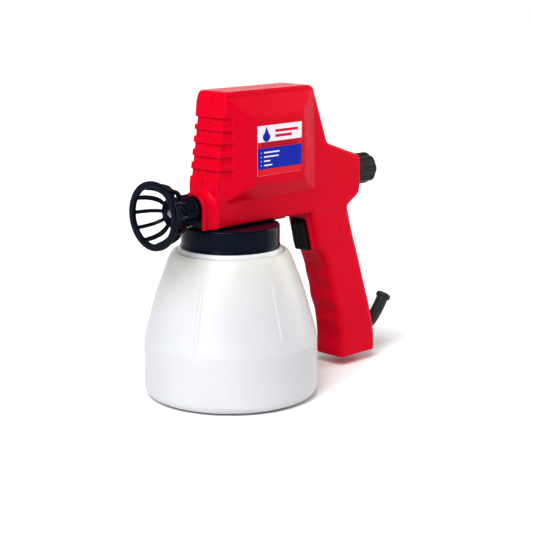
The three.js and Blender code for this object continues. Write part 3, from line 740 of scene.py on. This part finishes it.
def build_screws():
    def field(x, y, z):
        """A cross-head screw whose head faces -X, about y = z = 0."""
        head = rod(y, z, 3.0, x, -13.1, -11.2, 0.6)
        cross = np.minimum(box(x, y, z, (-14, -1.9, -0.4), (-12.0, 1.9, 0.4), 0.1),
                           box(x, y, z, (-14, -0.4, -1.9), (-12.0, 0.4, 1.9), 0.1))
        return np.minimum(smooth_cut(head, cross, 0.2), rod(y, z, 1.5, x, -11.4, 8, 0.3))

    first = solid("screw_1", field, (-13.2, -3.1, -3.1), (8, 3.1, 3.1), 0.2, FINISH["steel"])
    for i, (y, z) in enumerate(SCREW_SPOTS):
        screw = first if i == 0 else bpy.data.objects.new(f"screw_{i + 1}", first.data)
        if i:
            bpy.context.scene.collection.objects.link(screw)
        screw.location = (0, y * MM, z * MM)
        bpy.context.view_layer.update()
        place(screw, "gun", "steel", f"housing_screw_{i + 1}")


def build_emblems():
    """A plain raised oval outline on each side of the grip, where the real one has a badge."""
    for name, side in (("emblem_left", 1), ("emblem_right", -1)):
        def field(x, y, z, side=side):
            up = z - EMBLEM_SPOT[1]
            along = y - EMBLEM_SPOT[0] + EMBLEM_LEAN * up
            oval = rounded_both(np.abs(along) - EMBLEM_HALF[0], np.abs(up) - EMBLEM_HALF[1], 6.5)
            return rounded_both(np.abs(oval) - 0.4, np.abs(side * x - HANDLE_HALF_W + 0.1) - 0.32, 0.3)

        low, high = (12.2, 13.6) if side > 0 else (-13.6, -12.2)
        emblem = solid(name, field, (low, 78, 93), (high, 104, 116), 0.3, FINISH["red_plastic"])
        place(emblem, "gun", "red_plastic")


# ---- pump ---------------------------------------------------------------------------------------
def helix_gap(x, y, z, start, turns=0.9, pitch=6.0, z0=106.3):
    """Distance along Z from a right-handed thread line that begins at angle start and height z0."""
    turn = ((np.arctan2(y, x) - start) % (2 * math.pi)) / (2 * math.pi)
    ended = np.maximum(turn - turns, 0) * 60
    return np.hypot(z - z0 - pitch * np.minimum(turn, turns), ended)


def pump_body(x, y, z):
    """The threaded collar with its inner ridge, the block on it and the nose, with their bores."""
    r = np.hypot(x, y)
    collar = rounded_both(r - COLLAR_R + 0.35, np.maximum(COLLAR_Z[0] - z, z - COLLAR_Z[1]), 0.9)
    hollow = np.maximum(r - COLLAR_BORE, z - COLLAR_ROOF)
    foot = rounded_both(r - COLLAR_R, np.maximum(COLLAR_Z[0] - z, z - COLLAR_Z[0] - 1.6), 0.5)
    collar = smooth_cut(np.minimum(collar, foot), hollow, 0.6)
    ridge = np.hypot(r - COLLAR_BORE + 0.7, helix_gap(x, y, z, math.pi)) - 1.2
    f = np.minimum(collar, ridge)
    nose = rod(x, z - SPRAY_Z, 8.0, y, -44, -16, 0.7)
    block = box(x, y, z, (-8.8, -18, 118.5), (8.8, 45.5, 143), 0.8)
    web = box(x, y, z, (-6, -30, 118.2), (6, -16, 128), 0.8)
    f = smooth_union(f, smooth_union(smooth_union(nose, web, 1.5), block, 1.0), 1.2)
    bores = np.inf
    for radius, front, back in ((5.2, -46, -28), (6.2, -28.5, 35), (7.4, 34, 47)):
        bores = np.minimum(bores, rod(x, z - SPRAY_Z, radius, y, front, back))
    upright = ((4.3, INLET_Y, 115, 122), (2.4, INLET_Y, 121, 130), (3.3, RETURN_Y, 115, 121))
    for radius, at, low, high in upright:
        bores = np.minimum(bores, rod(x, y - at, radius, z, low, high))
    return np.maximum(f, -bores)


def build_pump():
    pump = solid("pump_casting", pump_body, (-35, -45, 103), (35, 47, 144), 0.65, FINISH["black_plastic"])
    place(pump, "gun", "black_plastic", "pump_body")


# ---- nozzle -------------------------------------------------------------------------------------
def around_spray_axis(x, z, count):
    """Radius and sideways distance from the nearest of that many equally spaced spokes."""
    step = 2 * math.pi / count
    angle = np.arctan2(x, z - SPRAY_Z)
    angle = angle - step * np.round(angle / step)
    r = np.hypot(x, z - SPRAY_Z)
    return r * np.cos(angle), r * np.sin(angle)


def nozzle_nut(x, y, z):
    """A cap with eight fins, bored for the pump's nose and the spray tip."""
    r = np.hypot(x, z - SPRAY_Z)
    wall = rounded_both(r - 10.0, np.maximum(-50.4 - y, y + 38), 0.9)
    out, side = around_spray_axis(x, z, NUT_FINS)
    fin_end = np.maximum(np.maximum(9 - out, out - 11), np.abs(y + 43.8) - 4.9)
    f = smooth_union(wall, rounded_both(np.abs(side) - 0.75, fin_end, 0.35), 0.8)
    f = np.maximum(f, -np.maximum(r - 8.4, -47.7 - y))
    return smooth_cut(f, np.maximum(r - 4.0, y + 47), 0.5)


GUARD_RIB = fillet([
    (9.6, -52.7, 0.3), (13.2, -54.2, 6), (16, -57, 6), (17.6, -61, 8), (19, -68.2, 0.3), (21.2, -68.2, 0.3),
    (20.4, -61, 10), (18.4, -55.4, 6), (15.2, -52, 5), (9.6, -50.9, 0.3),
], 3)
rib_distance = outline_distance(GUARD_RIB)


def nozzle_guard(x, y, z):
    """A front ring and a hub joined by curved ribs."""
    r = np.hypot(x, z - SPRAY_Z)
    ring = rounded_both(np.abs(r - GUARD_R + 2.1) - 2.1, np.abs(y - GUARD_FRONT - 1.5) - 1.5, 0.7)
    hub = rounded_both(np.abs(r - 7.4) - 3.0, np.abs(y + 51.85) - 1.05, 0.4)
    out, side = around_spray_axis(x, z, GUARD_RIBS)
    rib = rounded_both(rib_distance(out, y + 0 * out), np.abs(side) - 1.1, 0.35)
    return smooth_union(smooth_union(ring, rib, 0.7), hub, 0.5)


def build_nozzle():
    black = FINISH["black_plastic"]
    nut = solid("nozzle_cap_nut", nozzle_nut, (-11, -50.5, 122.3), (11, -38, 144.5), 0.4, black)
    place(nut, "nozzle_cap", "black_plastic", "nozzle_nut")
    low, high = (-GUARD_R, GUARD_FRONT, SPRAY_Z - GUARD_R), (GUARD_R, -50.8, SPRAY_Z + GUARD_R)
    guard = solid("guard_cage", nozzle_guard, low, high, 0.42, black)
    place(guard, "nozzle_cap", "black_plastic", "nozzle_guard")
    tip = [(0.4, -55), (2.2, -55), (2.6, -54.7), (3.6, -53.4), (3.6, -47.4), (7.0, -47.4), (7.2, -47.2),
           (7.2, -44.6), (2.6, -44.6), (2.6, -52.6), (0.4, -53.6)]
    plated = metal("plated_brass", (0.4, 0.39, 0.37), (0.5, 0.49, 0.46), (0.2, 0.35))
    place(turned("spray_tip", tip, "Y", (0, 0, SPRAY_Z), plated, 64), "nozzle", "brass", "nozzle_tip")


# ---- container ----------------------------------------------------------------------------------
CONTAINER_BASE = [(0, 0, 0), (52, 0, 4), (BELLY_R, 3, 11)]
CONTAINER_TAPER = [(BELLY_R, 39.5, 9), (58.9, 44, 9), (51.6, 71, 60), (47.2, 84, 60), (43, 95.4, 30)]
CONTAINER_SHOULDER = [
    (41.3, 98.8, 4), (39.4, 101.7, 1.6), (37.9, 101.7, 0.5), (36.7, 100.4, 0.3), (35.2, 104.1, 0.8),
    (NECK_R, 104.1, 0.5), (NECK_R, 113, 0.5),
]
CONTAINER_INNER = [
    (26.5, 113, 0.5), (26.5, 101.6, 2), (33.8, 101.4, 1), (36, 98.2, 1), (39.2, 98.2, 2), (41, 94.8, 8),
    (45, 84, 60), (49.5, 70.6, 60), (54.7, 53.4, 30), (58, 39.5, 10), (58, 4, 9), (50, 2, 4), (0, 2, 0),
]


def container_profile():
    """The wall's closed section with rounded corners, its neck cut finely so that a thread can stand out."""
    rounded = fillet([*CONTAINER_BASE, *CONTAINER_TAPER, *CONTAINER_SHOULDER, *CONTAINER_INNER], 5)
    points = []
    for a, b in zip(rounded, rounded[1:] + rounded[:1]):
        neck = abs(a[0] - NECK_R) < 0.01 and abs(b[0] - NECK_R) < 0.01
        pieces = max(1, round(math.dist(a, b) / (0.45 if neck else 6)))
        for k in range(pieces):
            points.append((a[0] + (b[0] - a[0]) * k / pieces, a[1] + (b[1] - a[1]) * k / pieces))
    return points


def container_relief(angle, profile):
    """What stands proud of the section at that angle: six upright ribs and the neck's thread."""
    r, z = profile[:, 0], profile[:, 1]
    spacing = 2 * math.pi / RIB_COUNT
    off = (angle - math.radians(RIB_AZIMUTH) + spacing / 2) % spacing - spacing / 2
    across = np.clip((RIB_HALF_W - np.abs(off) * r) / 0.5, 0, 1)
    along = np.clip(z - RIB_Z[0], 0, 1) * np.clip(RIB_Z[1] - z, 0, 1)
    taper_r = np.interp(z, [p[1] for p in CONTAINER_TAPER], [p[0] for p in CONTAINER_TAPER])
    rib = RIB_HEIGHT * across * along * (np.abs(r - taper_r) < 1.0)
    gap = helix_gap(np.cos(angle), np.sin(angle), z, 0)
    on_neck = np.abs(r - NECK_R) < 0.02
    return rib + on_neck * np.clip(1.9 - gap * 1.25, 0, 1.6)


def container_angles():
    """Angles round the container, close together at each rib."""
    coarse = np.arange(0, 360, 3.0)
    fine = np.arange(-1.75, 1.76, 0.25)
    ribs = [RIB_AZIMUTH + 360 / RIB_COUNT * i for i in range(RIB_COUNT)]
    near = np.concatenate([rib + fine for rib in ribs]) % 360
    far = [a for a in coarse if min(abs((a - rib + 180) % 360 - 180) for rib in ribs) > 2.2]
    return np.radians(np.sort(np.concatenate([near, far])))


def build_container():
    tank = turned("paint_container", container_profile(), "Z", (0, 0, 0), FINISH["milky_plastic"],
                  container_angles(), container_relief)
    place(tank, "container", "milky_plastic", "container")


# ---- knob, trigger and boot ---------------------------------------------------------------------
def control_knob(x, y, z):
    """Eight hollow flats between narrow lands, and a domed, chamfered end."""
    r = np.hypot(x, z - KNOB_Z)
    front, back = KNOB_Y
    f = rounded_both(r - KNOB_R, front - y, 0.5)
    f = smooth_both(f, (r - KNOB_R + y - back + 1.9) * 0.71, 0.6)
    f = smooth_both(f, np.hypot(r, y - back + 60) - 60, 0.4)
    step = 2 * math.pi / KNOB_SIDES
    angle = np.arctan2(x, z - KNOB_Z) - step / 2
    angle = angle - step * np.round(angle / step)
    flute_at = KNOB_R + KNOB_FLUTE_R - KNOB_FLUTE_DEPTH
    flute = np.hypot(r * np.cos(angle) - flute_at, r * np.sin(angle)) - KNOB_FLUTE_R
    flute = np.maximum(flute, front + 4 - y)
    f = smooth_cut(f, flute, 0.3)
    f = np.maximum(f, -np.maximum(r - 3.1, y - 133))
    return np.maximum(f, -np.maximum(np.maximum(4 - r, r - 9.6), y - front - 2))


TRIGGER_OUTLINE = [
    (65.3, 110.8, 0.5), (67.2, 103.5, 30), (70.6, 90.9, 0.8), (77.6, 91.3, 1.4), (77.0, 104, 20),
    (76.4, 119.4, 2), (69.4, 119.4, 2.2), (68.6, 113.4, 0.6), (66.6, 112.6, 0.5),
]
trigger_distance = outline_distance(fillet(TRIGGER_OUTLINE, 4))


def trigger(x, y, z):
    """The lever, with five upright grooves in its front and a hole for its pin."""
    f = rounded_both(trigger_distance(y, z), np.abs(x) - TRIGGER_HALF_W, 0.9)
    near = x - TRIGGER_GROOVE_PITCH * np.clip(np.round(x / TRIGGER_GROOVE_PITCH), -2, 2)
    groove = np.maximum(np.abs(near) - 0.45, np.maximum(92.6 - z, z - 111.8))
    depth = -0.9 - trigger_distance(y, z)
    f = smooth_cut(f, np.maximum(groove, np.maximum(depth, y - 72)), 0.4)
    return np.maximum(f, 1.6 - np.hypot(y - TRIGGER_PIN[0], z - TRIGGER_PIN[1]))


BOOT_LINE = smooth_line(BOOT_POINTS, 6)
BOOT_TILT = math.radians(53.5)


def along_boot(y, z):
    """Distance from the boot's centre line in its own plane, and the length along it."""
    y, z = np.broadcast_arrays(y, z)
    best, run, done = np.full(y.shape, 1e9), np.zeros(y.shape), 0.0
    for (ay, az), (by, bz) in zip(BOOT_LINE, BOOT_LINE[1:]):
        dy, dz = by - ay, bz - az
        length = math.hypot(dy, dz)
        t = np.clip(((y - ay) * dy + (z - az) * dz) / length**2, 0, 1)
        gap = np.hypot(y - ay - t * dy, z - az - t * dz)
        nearer = gap < best
        best, run = np.where(nearer, gap, best), np.where(nearer, done + t * length, run)
        done += length
    return best, run


def cord_boot(x, y, z):
    """A bent tube with fine rings, a flange inside the handle and a rim round its open mouth."""
    off, run = along_boot(y, z)
    reach = np.hypot(off, x)
    length = sum(math.dist(a, b) for a, b in zip(BOOT_LINE, BOOT_LINE[1:]))
    ringed = np.clip((run - 9) / 2, 0, 1) * np.clip((length - 4 - run) / 2, 0, 1)
    rings = 0.16 * np.cos(run * 2 * math.pi / BOOT_RING_PITCH) * ringed
    tube = reach - 4.35 - rings
    ey, ez = BOOT_POINTS[-1]
    ahead = (y - ey) * math.cos(BOOT_TILT) + (z - ez) * math.sin(BOOT_TILT)
    aside = (z - ez) * math.cos(BOOT_TILT) - (y - ey) * math.sin(BOOT_TILT)
    f = np.maximum(tube, np.maximum(ahead, 129 - y))
    f = smooth_union(f, rod(x, aside, 5.6, ahead, -3, 0, 0.7), 0.8)
    f = np.minimum(f, rod(x, z - 21, 6.4, y, 129, 131, 0.3))
    bore = np.maximum(reach - 3.2, ahead - 2)
    return smooth_cut(f, np.minimum(bore, rod(x, aside, 3.9, ahead, -3.4, 2)), 0.5)


def build_controls():
    knob = solid("flow_control_knob", control_knob, (-11.6, 119, 132.6), (11.6, 142.5, 155.8), 0.36, SATIN)
    place(knob, "flow_knob", "black_plastic", "control_knob")
    pull = solid("trigger_lever", trigger, (-6.8, 64, 90), (6.8, 78, 119.6), 0.3, SATIN)
    place(pull, "trigger", "black_plastic", "trigger")
    boot = solid("rubber_cord_boot", cord_boot, (-6.5, 128.8, 14.4), (6.5, 168, 47), 0.36, FINISH["rubber"])
    place(boot, "gun", "rubber", "cord_boot")


# ---- springs ------------------------------------------------------------------------------------
# Each spring: CAD node, coil and wire radius, ends along Y, turns and height; then the joint that presses it,
# its still end, and the share of its length that is left at the joint's limit.
SPRINGS = [
    ("piston_spring", 5.6, 0.7, (34.1, 48.9), 4, SPRAY_Z, "armature_swing", 34.1, 0.78),
    ("valve_spring", 2.9, 0.4, (-44.4, -36.4), 5, SPRAY_Z, "valve_lift", -44.4, 0.88),
    ("trigger_spring", 2.4, 0.4, (78, 87.8), 4, 97.5, "trigger_pull", 87.8, 0.67),
]


def coil_spring(name, coil, wire, ends, turns, height):
    """A closed tube wound along Y."""
    steps, sides = turns * 24, 10
    points = []
    for i in range(steps + 1):
        turn = 2 * math.pi * turns * i / steps
        along = ends[0] + wire + (ends[1] - ends[0] - 2 * wire) * i / steps
        for k in range(sides):
            about = 2 * math.pi * k / sides
            r = coil + wire * math.cos(about)
            points.append((r * math.cos(turn), along + wire * math.sin(about), height + r * math.sin(turn)))
    caps = [tuple(range(sides)), tuple(range(steps * sides, (steps + 1) * sides))]
    faces = caps + grid_faces(steps + 1, sides, closed=False)
    spring = mesh_object(name, points, faces, FINISH["steel"])
    weld(spring)
    return spring


def build_springs():
    """A steel coil for each spring, riding on the gun in place of its CAD node."""
    for node, coil, wire, ends, turns, height, joint, still, keep in SPRINGS:
        spring = coil_spring(f"{node}_coil", coil, wire, ends, turns, height)
        place(spring, "gun", "steel", node)
        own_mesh(spring)


# ---- label --------------------------------------------------------------------------------------
def plate(name, y, z, x, material, edge=0.6):
    """A thin plate with rounded corners on the left flank: y, z and x are (low, high)."""
    (y0, y1), (z0, z1) = y, z
    corners = fillet([(y0, z0, edge), (y1, z0, edge), (y1, z1, edge), (y0, z1, edge)], 4)
    return prism(name, corners, x, material)


def prism(name, outline, x, material):
    """A flat solid between two values of X from a (Y, Z) outline."""
    n = len(outline)
    points = [(level, y, z) for level in x for y, z in outline]
    faces = [tuple(range(n))[::-1], tuple(range(n, 2 * n))]
    faces += [(i, (i + 1) % n, n + (i + 1) % n, n + i) for i in range(n)]
    return mesh_object(name, points, faces, material)


def drop_outline(cy, cz, size):
    """A paint drop: a circle drawn up to a point."""
    out = []
    for k in range(40):
        a = 2 * math.pi * k / 40
        top = max(0, math.sin(a))
        across = math.cos(a) * (1 - 0.55 * top)
        out.append((cy + size * across, cz + size * (math.sin(a) + 0.75 * top**6)))
    return out


def build_label():
    """A sticker with a generic print: a drop, plain bars and coloured bands, in thin layers on one film."""
    white = FINISH["label"]
    red = print_ink("label_red", (0.5, 0.001, 0.03))
    blue = print_ink("label_blue", (0.0008, 0.02, 0.34))
    orange = print_ink("label_orange", (0.58, 0.008, 0.024))
    dark = print_ink("label_dark", (0.12, 0.004, 0.012))
    x0 = PLATEAU_X + 0.02
    film, top, over = (x0, x0 + 0.14), (x0 + 0.14, x0 + 0.2), (x0 + 0.2, x0 + 0.25)
    place(plate("label_film", LABEL_Y, LABEL_Z, film, white), "gun", "label", "rating_label")
    y0, y1 = LABEL_Y
    z0, z1 = LABEL_Z
    height = z1 - z0
    layers = [
        ("label_red_band", (y0 + 0.1, y1 - 0.1), (z0 + height * 0.55, z0 + height * 0.67), top, red),
        ("label_blue_band", (y0 + 0.1, y1 - 0.1), (z0 + height * 0.13, z0 + height * 0.55), top, blue),
        ("label_orange_band", (y0 + 0.1, y1 - 0.1), (z0 + 0.1, z0 + height * 0.13), top, orange),
    ]
    for i in range(2):
        z = z0 + height * (0.58 + 0.045 * i)
        layers.append((f"label_dark_bar_{i + 1}", (y0 + 4, y1 - 4 - 6 * i), (z, z + 0.5), over, dark))
    for i, length in enumerate((8, 6, 14, 15)):
        z = z0 + height * (0.19 + 0.085 * i)
        layers.append((f"label_white_bar_{i + 1}", (y0 + 6, y0 + 6 + length), (z, z + 1.0), over, white))
        layers.append((f"label_white_dot_{i + 1}", (y0 + 3, y0 + 3.7), (z + 0.2, z + 0.9), over, white))
    layers.append(("label_red_bar_1", (y0 + 17, y1 - 4), (z1 - 5.2, z1 - 3.4), top, red))
    layers.append(("label_red_bar_2", (y0 + 17, y1 - 10), (z1 - 8.6, z1 - 6.8), top, red))
    for name, y, z, x, material in layers:
        place(plate(name, y, z, x, material, 0.15), "gun", "label")
    drop = prism("label_drop", drop_outline(y0 + 8.5, z1 - 7.4, 3.6), top, blue)
    place(drop, "gun", "label")


# ---- floor, light and camera --------------------------------------------------------------------
def build_stage():
    material, tree, bsdf = shader("paper_floor")
    tree.links.new(blend_colours(tree, noise(tree, 3), (0.91, 0.91, 0.912), (0.93, 0.93, 0.932)),
                   bsdf.inputs["Base Color"])
    bsdf.inputs["Roughness"].default_value = 0.7
    bumps(tree, bsdf, noise(tree, 400), 0.00002)
    bpy.ops.mesh.primitive_plane_add(size=40, location=(0, 0, 0))
    floor = bpy.context.object
    floor.name = "floor"
    floor.data.materials.append(material)


def softbox(name, place_at, aim, size, power, colour=(1, 1, 1)):
    """A rectangular area light in metres and watts."""
    data = bpy.data.lights.new(name, "AREA")
    data.shape = "RECTANGLE"
    data.size, data.size_y = size
    data.energy = power
    data.color = colour
    lamp = bpy.data.objects.new(name, data)
    bpy.context.scene.collection.objects.link(lamp)
    lamp.location = place_at
    lamp.rotation_euler = (Vector(aim) - Vector(place_at)).to_track_quat("-Z", "Y").to_euler()


def build_lights():
    world = bpy.data.worlds.new("studio")
    bpy.context.scene.world = world
    world.use_nodes = True
    background = world.node_tree.nodes["Background"]
    background.inputs["Color"].default_value = (0.97, 0.98, 1, 1)
    background.inputs["Strength"].default_value = 0.4
    data = bpy.data.lights.new("wide_light", "SUN")
    data.energy = 3.3
    data.angle = math.radians(38)
    lamp = bpy.data.objects.new("wide_light", data)
    bpy.context.scene.collection.objects.link(lamp)
    lamp.rotation_euler = Vector((0.28, -0.59, 0.76)).to_track_quat("Z", "Y").to_euler()
    softbox("right_light", (0.6, 1.4, 0.5), (0, 0.03, 0.08), (0.8, 0.9), 9.6, (1, 0.93, 0.84))
    softbox("camera_light", (0.4, -1.5, 0.6), (0, 0.03, 0.12), (0.6, 0.6), 5.4)
    softbox("back_light", (-1.1, 1.15, 0.65), (0, 0.05, 0.18), (1.2, 0.5), 2.6)


def build_camera():
    """The photograph's view: azimuth, elevation and roll about a point in the body's middle."""
    bpy.context.scene.view_settings.view_transform = "Standard"
    bpy.context.scene.view_settings.gamma = 0.82
    azimuth, elevation, roll = (math.radians(v) for v in (45.726, 11.437, -0.221))
    target, distance = Vector((0, 0.010, 0.100)), 1.0515
    back = Vector((math.sin(azimuth) * math.cos(elevation), -math.cos(azimuth) * math.cos(elevation),
                   math.sin(elevation)))
    flat = Vector((math.cos(azimuth), math.sin(azimuth), 0))
    upright = back.cross(flat)
    right = math.cos(roll) * flat + math.sin(roll) * upright
    up = -math.sin(roll) * flat + math.cos(roll) * upright
    data = bpy.data.cameras.new("camera")
    data.sensor_width = 36
    data.lens = 102.9
    data.shift_x = 0.0483
    data.shift_y = -0.0321
    data.clip_start = 0.01
    camera = bpy.data.objects.new("camera", data)
    bpy.context.scene.collection.objects.link(camera)
    turn = Matrix((right, up, back)).transposed().to_4x4()
    camera.matrix_world = Matrix.Translation(target + back * distance) @ turn
    bpy.context.scene.camera = camera


dress_cad_nodes()
build_housing()
build_screws()
build_emblems()
build_pump()
build_nozzle()
build_container()
build_controls()
build_springs()
build_label()
build_stage()
build_lights()
build_camera()
